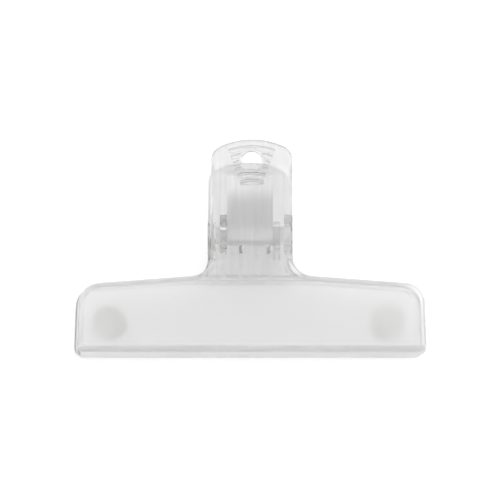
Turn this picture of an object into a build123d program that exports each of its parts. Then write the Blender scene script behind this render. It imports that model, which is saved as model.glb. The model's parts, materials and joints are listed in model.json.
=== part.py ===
from build123d import *
import os
from math import acos, asin, atan2, cos, degrees, hypot, sin, tan

# A wide-jaw bag clip lying on its back: two equal plastic mouldings hinged on their own stub pins,
# sprung shut by a bent steel strip, with two disc magnets on the back.
#
# Each moulding is drawn in its own frame: X along the jaw, Z from the lips up the handle, and -Y
# out of its face. A depth is the distance out from the mid-plane between the two mouldings.

# Jaw
JAW_WIDTH = 101.6
JAW_SIDE_TAPER = 0.4  # each side leans in by this much at its top corner
JAW_SIDE_HEIGHT = 20.5
JAW_NECK_HEIGHT = 23.4  # where the sloping top edge meets the neck
JAW_TOP_ROUND = 6.3
JAW_BOTTOM_ROUND = 2.2
JAW_DEPTH = 4.25
HALF_GAP = 0.6  # from the walls' inner edges to the mid-plane
WALL = 1.35
LIP_HEIGHT = 2.0
TOOTH_PITCH = 1.05
TOOTH_DEPTH = 0.5
TOOTH_GAP = 0.14  # between the two rows of teeth
CROSS_WALL_TOP = 23.1

# Neck and handle
HANDLE_WIDTH = 23.8
HANDLE_TOP = 62.0
HANDLE_TOP_ARC = 22.0
HANDLE_CORNER = 4.5
NECK_ROUND = 6.1
NECK_WALL_TOP = 28.4
NECK_BEND_HEIGHT = 26.0
HANDLE_BEND_HEIGHT = 52.0
HANDLE_BEND_DEPTH = 12.6
TIP_DEPTH = 13.0
FACE_BEND = 20.0  # radius of both bends of the outer face
PLATE = 1.8
EDGE_ROUND = 1.0

# Grip ribs and hanging hole
RIB_COUNT = 6
RIB_CENTRE_HEIGHT = 39.1
RIB_FIRST_RADIUS = 10.1
RIB_PITCH = 1.98
RIB_WIDTH = 1.35
RIB_RISE = 0.45
RIB_HALF_SPAN = 19.5
RIB_ROOT_DEPTH = 11.6
RIB_END_ROUND = 0.66
HOLE_RADIUS = 3.0
HOLE_HEIGHT = 55.45
HOLE_LAND = 0.7  # plain ring left round the hole
HOLE_ROUND = 0.3

# Hinge
PIVOT_HEIGHT = 36.2
LUG_RADIUS = 4.2
EAR_LOW = 29.0
EAR_HIGH = 40.6
OUTER_EAR_FROM = 9.45
INNER_EAR_FROM = 7.35
INNER_EAR_TO = 9.35
PIN_RADIUS = 2.6
PIN_CLEARANCE = 0.06
PIN_END = 5.1
PIN_CHAMFER = 0.3
EAR_RIB = 1.0  # the rib that carries the inner ear down to the cross wall

# Spring and what holds it
SPRING_WIDTH = 13.4
SPRING_THICKNESS = 0.5
SPRING_BEND = 3.0  # radius at the middle of the strip
SPRING_TIP_HEIGHT = 51.5
SPRING_CLEARANCE = 0.03
SEAT_RIB_LEFT = -3.2
SEAT_RIB_RIGHT = 4.9
SEAT_RIB = 1.0
SEAT_RIB_LOW = 30.6
SEAT_RIB_HIGH = 32.6
LEDGE_WIDTH = 8.0
LEDGE_HEIGHT = 0.5
LEDGE_RISE = 0.8

# Magnets
MAGNET_RADIUS = 5.1
MAGNET_THICKNESS = 1.5
MAGNET_CHAMFER = 0.2
MAGNET_PLACE = 40.6
MAGNET_HEIGHT = 10.3

# The two halves stand one tooth apart along the pivot, so that their teeth mesh.
HALF_OFFSET = TOOTH_PITCH / 2
TOOTH_COUNT = round(JAW_WIDTH / TOOTH_PITCH) + 1
NECK_ANGLE = atan2(HANDLE_BEND_DEPTH - JAW_DEPTH, HANDLE_BEND_HEIGHT - NECK_BEND_HEIGHT)
TIP_ANGLE = atan2(TIP_DEPTH - HANDLE_BEND_DEPTH, HANDLE_TOP - HANDLE_BEND_HEIGHT)
INNER_BEND = FACE_BEND - PLATE  # the handle's inner face, round the same centre
MARGIN = 1.0  # how far cutting shapes run past what they cut
NEAR = 0.1  # corners this near a height count as being at it
REACH = 25.0  # deeper than anything on a half
FACING = 0.9  # least cosine to the front for a face that counts as the outer face

# The clip rests on the back half's grip ribs, where the handle bends, and on the magnets' lower
# rims. The table is the line that touches both: it passes through the rim and is tangent to the
# bend's circle, so the lean of the clip follows from the circle's place.
BEND_MIDDLE = (NECK_ANGLE + TIP_ANGLE) / 2
BEND_REACH = FACE_BEND / cos((NECK_ANGLE - TIP_ANGLE) / 2)
BEND_CENTRE_DEPTH = HANDLE_BEND_DEPTH - BEND_REACH * cos(BEND_MIDDLE)
BEND_CENTRE_HEIGHT = HANDLE_BEND_HEIGHT + BEND_REACH * sin(BEND_MIDDLE)
RIM_DEPTH = JAW_DEPTH + MAGNET_THICKNESS
RIM_HEIGHT = MAGNET_HEIGHT - MAGNET_RADIUS + MAGNET_CHAMFER
TIP_DROP = SPRING_TIP_HEIGHT - BEND_CENTRE_HEIGHT
INNER_FACE_DEPTH = BEND_CENTRE_DEPTH + (INNER_BEND**2 - TIP_DROP**2) ** 0.5
TIP_BEND = INNER_BEND - SPRING_CLEARANCE - SPRING_THICKNESS / 2
TIP_PLACE = BEND_CENTRE_DEPTH + (TIP_BEND**2 - TIP_DROP**2) ** 0.5
ROLL_DEPTH = RIM_DEPTH - BEND_CENTRE_DEPTH
ROLL_HEIGHT = BEND_CENTRE_HEIGHT - RIM_HEIGHT
LEAN = asin((FACE_BEND + RIB_RISE) / hypot(ROLL_DEPTH, ROLL_HEIGHT)) - atan2(ROLL_DEPTH, ROLL_HEIGHT)

# The lying frame: +Z up from the table, +Y towards the handle, origin under the middle.
LOWEST_Y = EDGE_ROUND * cos(LEAN) - (JAW_DEPTH - EDGE_ROUND) * sin(LEAN) - EDGE_ROUND
HIGHEST_Y = HANDLE_TOP * cos(LEAN) + TIP_DEPTH * sin(LEAN)
SHIFT_Y = -(LOWEST_Y + HIGHEST_Y) / 2
SHIFT_Z = RIM_DEPTH * cos(LEAN) - RIM_HEIGHT * sin(LEAN)
LYING = Location((0, SHIFT_Y, SHIFT_Z), (degrees(LEAN) - 90, 0, 0))
FRONT = LYING * Location((HALF_OFFSET, 0, 0))
BACK = LYING * Location((-HALF_OFFSET, 0, 0), (0, 0, 180))


def set_on(place, plane):
    """A plane of a half's own frame, where that half lies."""
    return Plane(place * plane.location)


def face_corners(inset):
    """Side view (Y, Z) of the outer face as corners, moved into the material by inset."""
    bends = (
        (JAW_DEPTH, NECK_BEND_HEIGHT, 0, NECK_ANGLE),
        (HANDLE_BEND_DEPTH, HANDLE_BEND_HEIGHT, NECK_ANGLE, TIP_ANGLE),
    )
    corners = [(inset - JAW_DEPTH, -MARGIN)]
    for depth, height, below, above in bends:
        reach = inset / cos((above - below) / 2)
        middle = (above + below) / 2
        corners.append((reach * cos(middle) - depth, height + reach * sin(middle)))
    top_depth = TIP_DEPTH + MARGIN * tan(TIP_ANGLE) - inset / cos(TIP_ANGLE)
    corners.append((-top_depth, HANDLE_TOP + MARGIN))
    return corners


def neck_depth(height, inset):
    """Depth of the face between its two bends, moved into the material by inset."""
    return JAW_DEPTH + (height - NECK_BEND_HEIGHT) * tan(NECK_ANGLE) - inset / cos(NECK_ANGLE)


def side_region(inset, back_depth):
    """The side view (Y, Z) from the face, moved in by inset, back to a flat at back_depth."""
    with BuildSketch(Plane.XY, mode=Mode.PRIVATE) as region:
        with BuildLine():
            face = FilletPolyline(*face_corners(inset), radius=[FACE_BEND + inset, FACE_BEND - inset])
            Polyline(face @ 1, (-back_depth, HANDLE_TOP + MARGIN), (-back_depth, -MARGIN), face @ 0)
        make_face()
    return region.sketch


def outline():
    """The half's outline (X, Z) seen from the front."""
    half_handle = HANDLE_WIDTH / 2
    shoulder = HANDLE_TOP - HANDLE_TOP_ARC + (HANDLE_TOP_ARC**2 - half_handle**2) ** 0.5
    with BuildSketch(Plane.XY, mode=Mode.PRIVATE) as shape:
        with BuildLine():
            foot = (JAW_WIDTH / 2, 0)
            corner = (JAW_WIDTH / 2 - JAW_SIDE_TAPER, JAW_SIDE_HEIGHT)
            neck = (half_handle, JAW_NECK_HEIGHT)
            Polyline((0, 0), foot, corner, neck, (half_handle, shoulder))
            RadiusArc((half_handle, shoulder), (0, HANDLE_TOP), -HANDLE_TOP_ARC)
            mirror(about=Plane.YZ)
        make_face()
        feet = shape.vertices().group_by(Axis.Y)[0].sort_by(Axis.X)
        fillet([feet[0], feet[-1]], JAW_BOTTOM_ROUND)
        rounds = (
            (JAW_SIDE_HEIGHT, JAW_TOP_ROUND),
            (JAW_NECK_HEIGHT, NECK_ROUND),
            (shoulder, HANDLE_CORNER),
        )
        for height, radius in rounds:
            corners = shape.vertices().filter_by_position(Axis.Y, height - NEAR, height + NEAR)
            fillet(corners, radius)
    return shape.sketch


os.makedirs("parts", exist_ok=True)

for name, place in (("front_half", FRONT), ("back_half", BACK)):
    face_plane = set_on(place, Plane.XZ)
    side_plane = set_on(place, Plane.YZ)

    # The hollow behind the face: the jaw's tray, the neck between its walls, and all the handle.
    with BuildPart() as hollow:
        with BuildSketch(set_on(place, Plane.XZ.offset(-MARGIN))):
            add(outline())
            offset(amount=-WALL)
            with Locations((0, CROSS_WALL_TOP - WALL / 2)):
                Rectangle(JAW_WIDTH, WALL, mode=Mode.SUBTRACT)
            Rectangle(JAW_WIDTH, LIP_HEIGHT, align=(Align.CENTER, Align.MIN), mode=Mode.SUBTRACT)
            with Locations((0, NECK_WALL_TOP)):
                Rectangle(JAW_WIDTH, HANDLE_TOP, align=(Align.CENTER, Align.MIN))
        extrude(amount=REACH)
        with BuildSketch(side_plane):
            add(side_region(PLATE, -2 * MARGIN))
        extrude(amount=JAW_WIDTH, both=True, mode=Mode.INTERSECT)

    # Grip ribs: concentric arcs on the handle's face, interrupted by a plain ring at the hole.
    with BuildPart() as grip:
        with BuildSketch(set_on(place, Plane.XZ.offset(RIB_ROOT_DEPTH))):
            with BuildLine():
                for number in range(RIB_COUNT):
                    radius = RIB_FIRST_RADIUS + number * RIB_PITCH
                    start = 90 - RIB_HALF_SPAN
                    CenterArc((0, RIB_CENTRE_HEIGHT), radius, start, 2 * RIB_HALF_SPAN)
            arcs = trace(line_width=RIB_WIDTH)
            fillet(arcs.vertices(), RIB_END_ROUND)
            with Locations((0, HOLE_HEIGHT)):
                Circle(HOLE_RADIUS + HOLE_LAND, mode=Mode.SUBTRACT)
        extrude(amount=REACH)
        with BuildSketch(side_plane):
            add(side_region(-RIB_RISE, 0))
        extrude(amount=HANDLE_WIDTH, both=True, mode=Mode.INTERSECT)

    with BuildPart() as half:
        with BuildSketch(side_plane):
            add(side_region(0, HALF_GAP))
        extrude(amount=JAW_WIDTH, both=True)

        # Toothed lip: a zigzag that is odd about the middle, so that two halves mesh.
        with BuildSketch(set_on(place, Plane.XY)):
            with BuildLine():
                tips = [
                    ((2 * step + 1) * TOOTH_PITCH / 4, (TOOTH_DEPTH * (-1) ** step - TOOTH_GAP) / 2)
                    for step in range(-TOOTH_COUNT, TOOTH_COUNT)
                ]
                zigzag = Polyline(*tips)
                back_line = -JAW_DEPTH / 2
                Polyline(zigzag @ 1, (tips[-1][0], back_line), (tips[0][0], back_line), zigzag @ 0)
            make_face()
        extrude(amount=LIP_HEIGHT)
        with BuildSketch(set_on(place, Plane.XZ.offset(-MARGIN))):
            add(outline())
        extrude(amount=REACH, mode=Mode.INTERSECT)

        # Rounded rim all round the outer face.
        face = half.faces().filter_by(lambda side: side.normal_at().dot(face_plane.z_dir) > FACING)
        seams = face.edges()
        rim = seams.filter_by(lambda seam: sum(seam.is_same(other) for other in seams) == 1)
        fillet(rim, EDGE_ROUND)
        add(hollow.part, mode=Mode.SUBTRACT)

        # Hanging hole, with a rounded mouth, and the ribs around it.
        with BuildSketch(face_plane):
            with Locations((0, HOLE_HEIGHT)):
                Circle(HOLE_RADIUS)
        extrude(amount=REACH, mode=Mode.SUBTRACT)
        mouth = half.edges(Select.LAST).filter_by(GeomType.LINE, reverse=True)
        mouth = mouth.filter_by(lambda rim: face_plane.to_local_coords(rim.center()).Z > RIB_ROOT_DEPTH)
        fillet(mouth, HOLE_ROUND)
        add(grip.part)

        # Ears. The outer one carries the pin and the inner one its hole, on opposite sides.
        ears = (
            (OUTER_EAR_FROM, HANDLE_WIDTH / 2 - OUTER_EAR_FROM),
            (-INNER_EAR_TO, INNER_EAR_TO - INNER_EAR_FROM),
        )
        for ear_from, ear_width in ears:
            with BuildSketch(set_on(place, Plane.YZ.offset(ear_from))):
                with BuildLine():
                    CenterArc((0, PIVOT_HEIGHT), LUG_RADIUS, 0, 360)
                    low = (-neck_depth(EAR_LOW, PLATE / 2), EAR_LOW)
                    high = (-neck_depth(EAR_HIGH, PLATE / 2), EAR_HIGH)
                    Line(low, high)
                make_hull()
            extrude(amount=ear_width)

        # Ribs on the cross wall: two seats under the spring's bend, and one under the inner ear.
        foot = CROSS_WALL_TOP - WALL / 2
        plate_middle = JAW_DEPTH - PLATE / 2
        wall_ribs = (
            (SEAT_RIB_LEFT, SEAT_RIB, SEAT_RIB_LOW, SEAT_RIB_HIGH),
            (SEAT_RIB_RIGHT, SEAT_RIB, SEAT_RIB_LOW, SEAT_RIB_HIGH),
            (-(INNER_EAR_FROM + INNER_EAR_TO) / 2, EAR_RIB, PIVOT_HEIGHT - LUG_RADIUS / 2, EAR_HIGH),
        )
        for rib_place, rib_width, rib_inner, rib_outer in wall_ribs:
            with BuildSketch(set_on(place, Plane.YZ.offset(rib_place - rib_width / 2))):
                with BuildLine():
                    Polyline(
                        (-HALF_GAP, foot),
                        (-HALF_GAP, rib_inner),
                        (-neck_depth(rib_outer, PLATE / 2), rib_outer),
                        (-plate_middle, NECK_BEND_HEIGHT),
                        (-plate_middle, foot),
                        close=True,
                    )
                make_face()
            extrude(amount=rib_width)

        # Stub pin, and the hole for the other half's pin.
        with BuildSketch(set_on(place, Plane.YZ.offset(PIN_END))):
            with Locations((0, PIVOT_HEIGHT)):
                Circle(PIN_RADIUS)
        extrude(amount=OUTER_EAR_FROM - PIN_END + MARGIN)
        pin_end = half.faces(Select.LAST).sort_by(Axis(side_plane.origin, side_plane.z_dir))[0]
        chamfer(pin_end.edges(), PIN_CHAMFER)
        with BuildSketch(set_on(place, Plane.YZ.offset(-INNER_EAR_TO))):
            with Locations((0, PIVOT_HEIGHT)):
                Circle(PIN_RADIUS + PIN_CLEARANCE)
        extrude(amount=INNER_EAR_TO - INNER_EAR_FROM, mode=Mode.SUBTRACT)

        # Ledge that stops the spring's end from sliding up the handle.
        with BuildSketch(side_plane):
            with Locations((-INNER_FACE_DEPTH, SPRING_TIP_HEIGHT + LEDGE_HEIGHT)):
                Rectangle(2 * LEDGE_RISE, LEDGE_HEIGHT)
        extrude(amount=LEDGE_WIDTH / 2, both=True)

    half.part.label = name
    export_step(half.part, f"parts/{name}.step")

# Spring: a flat strip bent round the pins' inner ends, its tips inside the two handles.
with BuildPart() as leaf_spring:
    with BuildSketch(set_on(LYING, Plane.YZ)):
        with BuildLine():
            rise = SPRING_TIP_HEIGHT - PIVOT_HEIGHT
            length = hypot(TIP_PLACE, rise)
            turn = atan2(TIP_PLACE, rise) + acos(SPRING_BEND / length)
            touch = (SPRING_BEND * sin(turn), PIVOT_HEIGHT + SPRING_BEND * cos(turn))
            Line((-TIP_PLACE, SPRING_TIP_HEIGHT), (-touch[0], touch[1]))
            ThreePointArc((-touch[0], touch[1]), (0, PIVOT_HEIGHT - SPRING_BEND), touch)
            Line(touch, (TIP_PLACE, SPRING_TIP_HEIGHT))
        trace(line_width=SPRING_THICKNESS)
    extrude(amount=SPRING_WIDTH / 2, both=True)
leaf_spring.part.label = "leaf_spring"
export_step(leaf_spring.part, "parts/leaf_spring.step")

# Magnets: discs bonded to the back half's outer face.
back_plane = set_on(BACK, Plane.XZ.offset(JAW_DEPTH))
for name, side in (("magnet_left", 1), ("magnet_right", -1)):
    with BuildPart() as magnet:
        with BuildSketch(back_plane):
            with Locations((side * MAGNET_PLACE, MAGNET_HEIGHT)):
                Circle(MAGNET_RADIUS)
        extrude(amount=MAGNET_THICKNESS)
        outer = magnet.faces().sort_by(Axis(back_plane.origin, back_plane.z_dir))[-1]
        chamfer(outer.edges(), MAGNET_CHAMFER)
    magnet.part.label = name
    export_step(magnet.part, f"parts/{name}.step")
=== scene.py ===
import json
from math import atan2, cos, pi, radians, sin

import bmesh
import bpy
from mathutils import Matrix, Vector


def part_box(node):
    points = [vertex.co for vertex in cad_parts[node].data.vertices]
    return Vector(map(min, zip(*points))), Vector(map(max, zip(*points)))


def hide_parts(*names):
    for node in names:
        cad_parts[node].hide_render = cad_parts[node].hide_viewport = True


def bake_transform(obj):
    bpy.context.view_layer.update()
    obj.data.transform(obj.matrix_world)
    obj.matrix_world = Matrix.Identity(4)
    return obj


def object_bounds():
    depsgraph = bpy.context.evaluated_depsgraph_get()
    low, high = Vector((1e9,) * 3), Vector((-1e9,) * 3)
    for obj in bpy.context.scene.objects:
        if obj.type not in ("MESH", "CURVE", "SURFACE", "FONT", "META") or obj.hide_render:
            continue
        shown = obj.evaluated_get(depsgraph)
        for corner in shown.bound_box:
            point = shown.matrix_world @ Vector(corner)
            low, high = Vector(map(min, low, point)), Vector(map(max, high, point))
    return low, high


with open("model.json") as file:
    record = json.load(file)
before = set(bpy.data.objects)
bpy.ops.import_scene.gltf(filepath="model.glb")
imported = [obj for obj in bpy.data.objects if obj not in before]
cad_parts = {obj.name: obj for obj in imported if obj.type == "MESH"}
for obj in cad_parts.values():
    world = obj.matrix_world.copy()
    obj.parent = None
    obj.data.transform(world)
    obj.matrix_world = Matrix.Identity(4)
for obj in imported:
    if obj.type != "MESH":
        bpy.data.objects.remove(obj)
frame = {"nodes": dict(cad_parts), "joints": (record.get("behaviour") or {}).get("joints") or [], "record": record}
CAD_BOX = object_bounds()

# Everything is in metres, in the row frame: the clip lies on its back on the table at Z 0, with its
# lips towards -Y and its handles towards +Y.
MM = 0.001
MOUNTS = {mount["name"]: mount for mount in frame["record"]["mounts"]}
OUTWARD = Vector(MOUNTS["hang_hole_front"]["axis"]).normalized()  # out of the front face
ALONG = Vector((1, 0, 0))  # along the jaw
UP_HANDLE = OUTWARD.cross(ALONG).normalized()  # from the lips to the handle's end
PIVOT = Vector(frame["joints"][0]["pos_m"])
PIVOT_HEIGHT = 36.2 * MM  # above the lips
LEAN = atan2(UP_HANDLE.z, UP_HANDLE.y)

# View
LOOK_AT = Vector((0.0, 0.0, 9.67)) * MM
VIEW_FROM = Vector((0.0, -0.4025, 0.9155)).normalized()
VIEW_DISTANCE = 850 * MM
LENS = 208.1  # mm, on a 36 mm sensor
NEAR_LIMIT = 0.01

# Plastic. A pair of heights is where a change starts and where it is complete, up from the lips.
PLASTIC_IOR = 1.59
PLASTIC_ABSORPTION = 8.0  # per metre
FROST_TOP = 23.0 * MM  # the frosted field ends at the cross wall
FROST_EDGE = 0.25 * MM  # half the width of its border
FROST_ROUGHNESS = 0.235
POLISH_ROUGHNESS = 0.10
INSIDE_ROUGHNESS = (0.32, 0.75)  # the mould's core is blasted, most of all behind the grip
INSIDE_HEIGHTS = (43.0 * MM, 50.0 * MM)
OUTWARD_FACING = (0.2, 0.5)  # cosine to the front or back: from an inner face to an outer one
LIP_ROUGHNESS = 0.18  # the extra wear of the lips
LIP_HEIGHTS = (1.5 * MM, 2.3 * MM)
FROST_CLARITY = 0.86  # the share of light that crosses the surface, where the rest scatters as haze
POLISH_CLARITY = 0.88
END_CLARITY = 0.6  # on the lips' end faces, clear of the teeth
END_FACING = (0.6, 0.9)  # cosine to straight off the lips: from another face to an end face
TEETH_DEPTHS = (0.4 * MM, 0.8 * MM)  # from the plane between the halves, where the teeth end
FROST_SHADE = 0.99  # shades are the plastic's grey, from 0 to 1
POLISH_SHADE = 0.94
BORDER_PAINTED_SHADE = 0.72  # painted shade: a dark line along the frosted field's border, where the cross wall stands
END_PAINTED_SHADE = 0.82  # painted shade: the handles' ends are darkened, standing in for the shade under and between the handles
END_PAINTED_SHADE_BACK = 0.91
# heights over which the painted shade at the front and back handles' ends comes in
END_PAINTED_SHADE_FRONT_HEIGHTS = (48.5 * MM, 56.0 * MM)
END_PAINTED_SHADE_BACK_HEIGHTS = (48.0 * MM, 57.0 * MM)

# Flow lines along the handle, the frost's grain, and the gloss that handling leaves
FLOW_STRETCH = (1.0, 0.03, 0.2)
FLOW_SCALE = 1200
FLOW_DEPTH = 0.03 * MM
FLOW_RELIEF = 0.8
FLOW_SHADES = (0.2, 0.03)  # how much they vary the shade where it is polished, and where frosted
FLOW_MEAN = 0.985  # of the shade, where the flow lines are at their middle
GRAIN_SCALE = 9000
GRAIN_DEPTH = 0.02 * MM
GRAIN_RELIEF = 0.3
HANDLING_SCALE = 160
HANDLING_RANGE = 0.05

# Grip ribs and hanging hole, up the handle from the lips
HALF_OFFSET = 0.525 * MM  # how far each half stands to its side
GRIP_CENTRE = 39.1 * MM
GRIP_FIRST_WALL = 10.775 * MM
GRIP_PITCH = 1.98 * MM
GRIP_LAST = 5.0  # number of the outermost wall, with the first as 0
GRIP_SLOPE = 0.354  # of the line through the ribs' ends, across for each step up
GRIP_END = 0.2 * MM  # the lines fade over this
GRIP_LINE = (0.11, 0.04)  # half a line's width, and half its core's, as shares of the pitch
# painted shade along the grip ribs' upper walls
GRIP_LINE_PAINTED_SHADE = 0.55
HOLE_HEIGHT = 55.45 * MM
HOLE_LAND = (3.6 * MM, 3.8 * MM)  # from the hole's middle, where the ribs start again

# Spring
SPRING_THICKNESS = 0.5 * MM
SPRING_BEND = 3.0 * MM  # radius at the middle of the strip
SPRING_TIP = Vector((10.14, 15.3)) * MM  # outward from the pivot, and up the handle from it
SPRING_ROOT = radians(123.7)  # how far round the bend, from the handle's direction, each leg starts
SPRING_EDGE_ROUND = 0.09 * MM
SPRING_EDGE_SEGMENTS = 2
SPRING_CORNER = radians(60)  # edges that turn more than this are rounded
SPRING_LEG_STEPS = 26
SPRING_BEND_STEPS = 30
SPRING_WIDTH_STEPS = 8
STEEL_AND_PAINTED_SHADES = (0.86, 0.64)  # bare, and under the painted shade part way up the legs
PAINTED_SHADE_LOW = (34.0 * MM, 40.0 * MM)  # heights over which the painted shade starts
PAINTED_SHADE_HIGH = (50.0 * MM, 42.0 * MM)  # and heights over which it ends, from the top down
STAIN_SCALE = 300
STAIN_SHADE = 0.04
ROLLING_STRETCH = (1.0, 0.02, 0.02)
ROLLING_SCALE = 6000
ROLLING_DEPTH = 0.004 * MM
ROLLING_RELIEF = 0.3
STEEL_ROUGHNESS = (0.24, 0.16)  # least, and how much the rolling lines add

# Magnets
NICKEL_DARK = (0.87, 0.865, 0.855)
NICKEL_LIGHT = (0.95, 0.945, 0.935)
NICKEL_ROUGHNESS = (0.12, 0.22)  # least, and how much the scratches add
PEEL_SCALE = 2500
PEEL_DEPTH = 0.006 * MM
PEEL_RELIEF = 0.3
SCRATCH_STRETCH = (1.0, 0.06, 1.0)
SCRATCH_SCALE = 5000

# Surroundings
HORIZON = 0.82  # the room's brightness
ZENITH = 1.08
ZENITH_RISE = 0.9  # the sine of the height above which the room is brightest
KEY = {"place": (0.55, 0.25, 1.1), "size": 0.7, "watts": 3.5}
FILL = {"place": (-0.5, -0.3, 1.2), "size": 0.8, "watts": 2.0}
TABLE_DARK = (0.45, 0.45, 0.45)
TABLE_LIGHT = (0.47, 0.47, 0.47)
TABLE_MOTTLE_SCALE = 40
TABLE_ROUGHNESS = 0.9
TABLE_GLOW = 0.62  # the light it gives off itself
TABLE_REACH = 4.0  # half its side
TABLE_GAP = 0.02 * MM  # under the clip


def tree_of(name):
    """A new material and its empty node tree."""
    material = bpy.data.materials.new(name)
    material.use_nodes = True
    material.node_tree.nodes.clear()
    return material, material.node_tree


def node(tree, kind, inputs=None, **settings):
    """A node with its settings and inputs, where an input is a plain value or another node's output."""
    made = tree.nodes.new(kind)
    for name, value in settings.items():
        setattr(made, name, value)
    for key, value in (inputs or {}).items():
        if isinstance(value, bpy.types.NodeSocket):
            tree.links.new(value, made.inputs[key])
        else:
            made.inputs[key].default_value = value
    return made


def calc(tree, operation, *values):
    """One arithmetic step."""
    return node(tree, "ShaderNodeMath", dict(enumerate(values)), operation=operation).outputs[0]


def ramp(tree, value, low, high, bottom=0.0, top=1.0):
    """Value, going smoothly from bottom to top as it runs from low to high."""
    names = ("Value", "From Min", "From Max", "To Min", "To Max")
    inputs = dict(zip(names, (value, low, high, bottom, top)))
    return node(tree, "ShaderNodeMapRange", inputs, interpolation_type="SMOOTHSTEP").outputs["Result"]


def clip_coords(tree):
    """Object coordinates turned to the clip's own axes: X along the jaw, Y up the handle from the
    lips, Z out of the front face."""
    position = node(tree, "ShaderNodeTexCoord").outputs["Object"]
    offset = node(tree, "ShaderNodeVectorMath", {0: position, 1: PIVOT}, operation="SUBTRACT")
    turned = node(
        tree,
        "ShaderNodeVectorRotate",
        {"Vector": offset.outputs[0], "Angle": -LEAN},
        rotation_type="X_AXIS",
    )
    lifted = node(
        tree, "ShaderNodeVectorMath", {0: turned.outputs[0], 1: (0, PIVOT_HEIGHT, 0)}, operation="ADD"
    )
    return lifted.outputs[0]


def noise(tree, vector, scale, detail=2.0, rough=0.5):
    """Noise with features about 1 / scale metres wide."""
    inputs = {"Vector": vector, "Scale": scale, "Detail": detail, "Roughness": rough}
    return node(tree, "ShaderNodeTexNoise", inputs).outputs["Fac"]


def stretched(tree, vector, factors):
    """Coordinates scaled along each axis."""
    return node(tree, "ShaderNodeVectorMath", {0: vector, 1: factors}, operation="MULTIPLY").outputs[0]


def dot(tree, vector, direction):
    """The cosine between a unit vector and a direction."""
    inputs = {0: vector, 1: direction}
    return node(tree, "ShaderNodeVectorMath", inputs, operation="DOT_PRODUCT").outputs["Value"]


def value_mix(tree, factor, low, high):
    """A value between two others."""
    inputs = {"Factor": factor, "A": low, "B": high}
    return node(tree, "ShaderNodeMix", inputs, data_type="FLOAT").outputs["Result"]


def colour_mix(tree, factor, dark, light):
    """A colour between two others."""
    inputs = {"Factor": factor, "A": (*dark, 1), "B": (*light, 1)}
    return node(tree, "ShaderNodeMix", inputs, data_type="RGBA").outputs["Result"]


def product(tree, *values):
    """Several values multiplied."""
    result = values[0]
    for value in values[1:]:
        result = calc(tree, "MULTIPLY", result, value)
    return result


def grey(tree, shade):
    """A grey as a colour."""
    inputs = {"Red": shade, "Green": shade, "Blue": shade}
    return node(tree, "ShaderNodeCombineColor", inputs).outputs[0]


def bump(tree, height, distance, strength=1.0, normal=None):
    """Surface relief, distance metres deep."""
    inputs = {"Height": height, "Distance": distance, "Strength": strength}
    if normal is not None:
        inputs["Normal"] = normal
    return node(tree, "ShaderNodeBump", inputs).outputs["Normal"]


def finish_material(tree, inputs, absorption=None):
    """The shader and the output. Absorption is what a clear solid takes from light, per metre."""
    shader = node(tree, "ShaderNodeBsdfPrincipled", inputs)
    output = node(tree, "ShaderNodeOutputMaterial", {"Surface": shader.outputs["BSDF"]})
    if absorption is not None:
        inputs = {"Color": (0, 0, 0, 1), "Density": absorption}
        volume = node(tree, "ShaderNodeVolumeAbsorption", inputs)
        tree.links.new(volume.outputs["Volume"], output.inputs["Volume"])


def grip_shade_lines(tree, place):
    """1 along the upper walls of the grip ribs, where painted shade darkens them, and 0 elsewhere."""
    across = calc(tree, "MULTIPLY_ADD", calc(tree, "SIGN", place["Z"]), -HALF_OFFSET, place["X"])
    up = calc(tree, "SUBTRACT", place["Y"], GRIP_CENTRE)
    sideways = product(tree, across, across)
    radius = calc(tree, "SQRT", calc(tree, "MULTIPLY_ADD", up, up, sideways))
    number = calc(tree, "DIVIDE", calc(tree, "SUBTRACT", radius, GRIP_FIRST_WALL), GRIP_PITCH)
    not_below = calc(tree, "MAXIMUM", calc(tree, "ROUND", number), 0.0)
    nearest = calc(tree, "MINIMUM", not_below, GRIP_LAST)
    away = calc(tree, "ABSOLUTE", calc(tree, "SUBTRACT", number, nearest))
    room = calc(tree, "SUBTRACT", product(tree, up, GRIP_SLOPE), calc(tree, "ABSOLUTE", across))
    over = calc(tree, "SUBTRACT", place["Y"], HOLE_HEIGHT)
    ring = calc(tree, "SQRT", calc(tree, "MULTIPLY_ADD", over, over, sideways))
    line = ramp(tree, away, *GRIP_LINE)
    return product(tree, line, ramp(tree, room, 0.0, GRIP_END), ramp(tree, ring, *HOLE_LAND))


def plastic_roughness(tree, coords, place, frost, lip, normal):
    """Polished or frosted outside, blasted inside, worn at the lips."""
    outwards = product(tree, dot(tree, normal, OUTWARD), calc(tree, "SIGN", place["Z"]))
    inside = ramp(tree, place["Y"], *INSIDE_HEIGHTS, *INSIDE_ROUGHNESS)
    outside = ramp(tree, frost, 0.0, 1.0, POLISH_ROUGHNESS, FROST_ROUGHNESS)
    worn = calc(tree, "MULTIPLY_ADD", lip, LIP_ROUGHNESS, outside)
    unhandled = ramp(tree, outwards, *OUTWARD_FACING, inside, worn)
    smears = noise(tree, coords, HANDLING_SCALE, detail=4.0)
    handling = calc(tree, "MULTIPLY_ADD", smears, HANDLING_RANGE, -HANDLING_RANGE / 2)
    return calc(tree, "ADD", unhandled, handling)


def plastic_clarity(tree, place, frost, lip, normal):
    """How much light crosses the surface: least on the lips' end faces."""
    clear = ramp(tree, frost, 0.0, 1.0, POLISH_CLARITY, FROST_CLARITY)
    downwards = ramp(tree, dot(tree, normal, -UP_HANDLE), *END_FACING)
    beside_teeth = ramp(tree, calc(tree, "ABSOLUTE", place["Z"]), *TEETH_DEPTHS)
    end = product(tree, lip, downwards, beside_teeth)
    return ramp(tree, end, 0.0, 1.0, clear, END_CLARITY)


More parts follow.
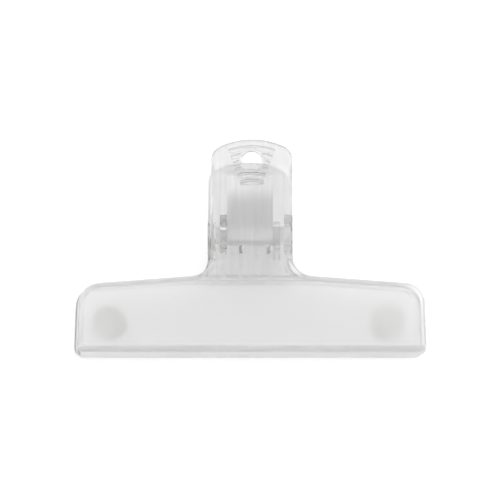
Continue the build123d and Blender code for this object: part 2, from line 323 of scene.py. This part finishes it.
def plastic_shade(tree, place, frost, flow):
    """The plastic's grey, with flow lines, and painted shade at the handles' ends, along the grip ribs' walls and
    along the frosted field's border.
    """
    on_front_half = calc(tree, "GREATER_THAN", place["Z"], 0.0)
    # painted shade: the handles darken towards their ends
    painted_shade_front = ramp(tree, place["Y"], *END_PAINTED_SHADE_FRONT_HEIGHTS, 1.0, END_PAINTED_SHADE)
    painted_shade_back = ramp(tree, place["Y"], *END_PAINTED_SHADE_BACK_HEIGHTS, 1.0, END_PAINTED_SHADE_BACK)
    end_painted_shade = value_mix(tree, on_front_half, painted_shade_back, painted_shade_front)
    plain = ramp(tree, frost, 0.0, 1.0, POLISH_SHADE, FROST_SHADE)
    # painted shade: a dark line along the frosted field's border
    edge = product(tree, frost, 4.0, calc(tree, "SUBTRACT", 1.0, frost))
    border_painted_shade = ramp(tree, edge, 0.0, 1.0, 1.0, BORDER_PAINTED_SHADE)
    strength = ramp(tree, frost, 0.0, 1.0, *FLOW_SHADES)
    streaks = calc(tree, "ADD", product(tree, calc(tree, "SUBTRACT", flow, 0.5), strength), FLOW_MEAN)
    # painted shade: dark lines along the ribs' upper walls
    rib_painted_shade = ramp(tree, grip_shade_lines(tree, place), 0.0, 1.0, 1.0, GRIP_LINE_PAINTED_SHADE)
    return product(tree, end_painted_shade, plain, border_painted_shade, streaks, rib_painted_shade)


def clear_plastic():
    """Moulded polystyrene: polished on the neck and handle, spark-frosted on the jaw."""
    material, tree = tree_of("clear_plastic")
    coords = clip_coords(tree)
    place = node(tree, "ShaderNodeSeparateXYZ", {0: coords}).outputs
    normal = node(tree, "ShaderNodeTexCoord").outputs["Normal"]
    frost = ramp(tree, place["Y"], FROST_TOP + FROST_EDGE, FROST_TOP - FROST_EDGE)
    lip = ramp(tree, place["Y"], *LIP_HEIGHTS, 1.0, 0.0)
    flow = noise(tree, stretched(tree, coords, FLOW_STRETCH), FLOW_SCALE, detail=3.0)
    grain = product(tree, noise(tree, coords, GRAIN_SCALE, detail=3.0, rough=0.6), frost)
    waviness = bump(tree, flow, FLOW_DEPTH, FLOW_RELIEF)
    finish_material(tree, {
        "Base Color": grey(tree, plastic_shade(tree, place, frost, flow)),
        "Roughness": plastic_roughness(tree, coords, place, frost, lip, normal),
        "IOR": PLASTIC_IOR,
        "Transmission Weight": plastic_clarity(tree, place, frost, lip, normal),
        "Normal": bump(tree, grain, GRAIN_DEPTH, GRAIN_RELIEF, waviness),
    }, PLASTIC_ABSORPTION)
    return material


def spring_steel():
    """Bright cold-rolled strip, with rolling lines along its length and painted shade part way up its legs."""
    material, tree = tree_of("spring_steel")
    coords = clip_coords(tree)
    rolled_out = stretched(tree, coords, ROLLING_STRETCH)
    lines = noise(tree, rolled_out, ROLLING_SCALE, detail=3.0, rough=0.65)
    stains = noise(tree, coords, STAIN_SCALE, detail=4.0, rough=0.6)
    height = node(tree, "ShaderNodeSeparateXYZ", {0: coords}).outputs["Y"]
    # painted shade: the steel is darker on a band of heights part way up the legs
    painted_shade_band = product(tree, ramp(tree, height, *PAINTED_SHADE_LOW), ramp(tree, height, *PAINTED_SHADE_HIGH))
    steel_with_painted_shade = ramp(tree, painted_shade_band, 0.0, 1.0, *STEEL_AND_PAINTED_SHADES)
    least, added = STEEL_ROUGHNESS
    finish_material(tree, {
        "Base Color": grey(tree, calc(tree, "ADD", steel_with_painted_shade, product(tree, stains, STAIN_SHADE))),
        "Metallic": 1.0,
        "Roughness": calc(tree, "MULTIPLY_ADD", lines, added, least),
        "Normal": bump(tree, lines, ROLLING_DEPTH, ROLLING_RELIEF),
    })
    return material


def magnet_plating():
    """Nickel plating, slightly orange-peeled, with fine handling scratches."""
    material, tree = tree_of("magnet_plating")
    coords = clip_coords(tree)
    peel = noise(tree, coords, PEEL_SCALE)
    drawn_out = stretched(tree, coords, SCRATCH_STRETCH)
    scratches = noise(tree, drawn_out, SCRATCH_SCALE, detail=4.0, rough=0.7)
    least, added = NICKEL_ROUGHNESS
    finish_material(tree, {
        "Base Color": colour_mix(tree, peel, NICKEL_DARK, NICKEL_LIGHT),
        "Metallic": 1.0,
        "Roughness": calc(tree, "MULTIPLY_ADD", scratches, added, least),
        "Normal": bump(tree, peel, PEEL_DEPTH, PEEL_RELIEF),
    })
    return material


def clip_point(across, out, up):
    """A point given along the jaw, out of the front face and up the handle, from the pivot."""
    return PIVOT + ALONG * across + OUTWARD * out + UP_HANDLE * up


def spring_line():
    """The strip's middle line, as (outward, up) from the pivot, from the back tip to the front."""
    root = Vector((SPRING_BEND * sin(SPRING_ROOT), SPRING_BEND * cos(SPRING_ROOT)))
    front = []
    for step in range(SPRING_BEND_STEPS):
        angle = pi + (SPRING_ROOT - pi) * (step + 0.5) / (SPRING_BEND_STEPS - 0.5)
        front.append(Vector((SPRING_BEND * sin(angle), SPRING_BEND * cos(angle))))
    # The leg is an arc that leaves the bend along its tangent and ends at the tip.
    chord = SPRING_TIP - root
    heading = atan2(chord.x, chord.y)
    leaving = SPRING_ROOT - pi / 2
    radius = chord.length / (2 * sin(leaving - heading))
    centre = root + Vector((cos(leaving), -sin(leaving))) * -radius
    for step in range(1, SPRING_LEG_STEPS + 1):
        angle = leaving - 2 * (leaving - heading) * step / SPRING_LEG_STEPS
        front.append(centre + Vector((cos(angle), -sin(angle))) * radius)
    back = [Vector((-point.x, point.y)) for point in reversed(front)]
    return back + front


def leaf_spring(material):
    """The bent strip, with the edges that shearing leaves just rounded."""
    low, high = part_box("leaf_spring")
    half_width = (high.x - low.x) / 2
    line = spring_line()
    mesh = bmesh.new()
    rows = []
    for index, point in enumerate(line):
        before = line[max(index - 1, 0)]
        after = line[min(index + 1, len(line) - 1)]
        run = (after - before).normalized()
        side = Vector((-run.y, run.x)) * SPRING_THICKNESS / 2
        row = []
        for face in (1, -1):
            for step in range(SPRING_WIDTH_STEPS + 1):
                across = face * half_width * (2 * step / SPRING_WIDTH_STEPS - 1)
                place = point + side * face
                row.append(mesh.verts.new(clip_point(across, place.x, place.y)))
        rows.append(row)
    count = len(rows[0])
    for first, second in zip(rows, rows[1:]):
        for index in range(count):
            following = (index + 1) % count
            mesh.faces.new((first[index], first[following], second[following], second[index]))
    for row in (rows[0], list(reversed(rows[-1]))):
        for step in range(SPRING_WIDTH_STEPS):
            last = count - 1 - step
            mesh.faces.new((row[step], row[step + 1], row[last - 1], row[last]))
    bmesh.ops.recalc_face_normals(mesh, faces=mesh.faces)
    sharp = [edge for edge in mesh.edges if edge.calc_face_angle() > SPRING_CORNER]
    bmesh.ops.bevel(
        mesh,
        geom=sharp,
        offset=SPRING_EDGE_ROUND,
        segments=SPRING_EDGE_SEGMENTS,
        profile=0.5,
        affect="EDGES",
    )
    data = bpy.data.meshes.new("spring_strip")
    mesh.to_mesh(data)
    mesh.free()
    data.polygons.foreach_set("use_smooth", [True] * len(data.polygons))
    piece = bpy.data.objects.new("spring_strip", data)
    bpy.context.scene.collection.objects.link(piece)
    data.materials.append(material)
    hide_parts("leaf_spring")
    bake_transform(piece)


def dress(names, material):
    """Gives CAD nodes a finish."""
    for name in names:
        for slot in frame["nodes"][name].material_slots:
            slot.material = material


def camera():
    """The photograph's view."""
    data = bpy.data.cameras.new("camera")
    data.lens = LENS
    data.clip_start = NEAR_LIMIT
    seen_from = bpy.data.objects.new("camera", data)
    seen_from.location = LOOK_AT + VIEW_FROM * VIEW_DISTANCE
    seen_from.rotation_euler = (-VIEW_FROM).to_track_quat("-Z", "Y").to_euler()
    bpy.context.scene.collection.objects.link(seen_from)
    bpy.context.scene.camera = seen_from


def soft_box(name, place, size, watts):
    """A square area light aimed at the clip."""
    data = bpy.data.lights.new(name, "AREA")
    data.energy = watts
    data.size = size
    light = bpy.data.objects.new(name, data)
    light.location = place
    light.rotation_euler = (LOOK_AT - Vector(place)).to_track_quat("-Z", "Y").to_euler()
    bpy.context.scene.collection.objects.link(light)


def surroundings():
    """A white room: bright overhead, darker towards the horizon."""
    world = bpy.data.worlds.new("studio")
    world.use_nodes = True
    tree = world.node_tree
    tree.nodes.clear()
    direction = node(tree, "ShaderNodeTexCoord").outputs["Generated"]
    rise = node(tree, "ShaderNodeSeparateXYZ", {0: direction}).outputs["Z"]
    brightness = ramp(tree, rise, 0.0, ZENITH_RISE, HORIZON, ZENITH)
    light = node(tree, "ShaderNodeBackground", {"Color": (1, 1, 1, 1), "Strength": brightness})
    node(tree, "ShaderNodeOutputWorld", {"Surface": light.outputs[0]})
    bpy.context.scene.world = world


def floor():
    """A plain white table top, lit a little from below as a light table is."""
    material, tree = tree_of("table_white")
    coords = node(tree, "ShaderNodeTexCoord").outputs["Object"]
    mottle = noise(tree, coords, TABLE_MOTTLE_SCALE)
    finish_material(tree, {
        "Base Color": colour_mix(tree, mottle, TABLE_DARK, TABLE_LIGHT),
        "Roughness": TABLE_ROUGHNESS,
        "Specular IOR Level": 0.0,
        "Emission Color": (1, 1, 1, 1),
        "Emission Strength": TABLE_GLOW,
    })
    bpy.ops.mesh.primitive_plane_add(size=2 * TABLE_REACH, location=(0, 0, CAD_BOX[0].z - TABLE_GAP))
    table = bpy.context.object
    table.name = "table"
    table.data.materials.append(material)


camera()
surroundings()
soft_box("key", **KEY)
soft_box("fill", **FILL)
floor()

plastic = clear_plastic()
plating = magnet_plating()
dress(("front_half", "back_half"), plastic)
dress(("magnet_left", "magnet_right"), plating)
leaf_spring(spring_steel())

scene = bpy.context.scene
scene.view_settings.view_transform = "Standard"
scene.cycles.max_bounces = 32
scene.cycles.transmission_bounces = 32
scene.cycles.glossy_bounces = 8
scene.cycles.diffuse_bounces = 6
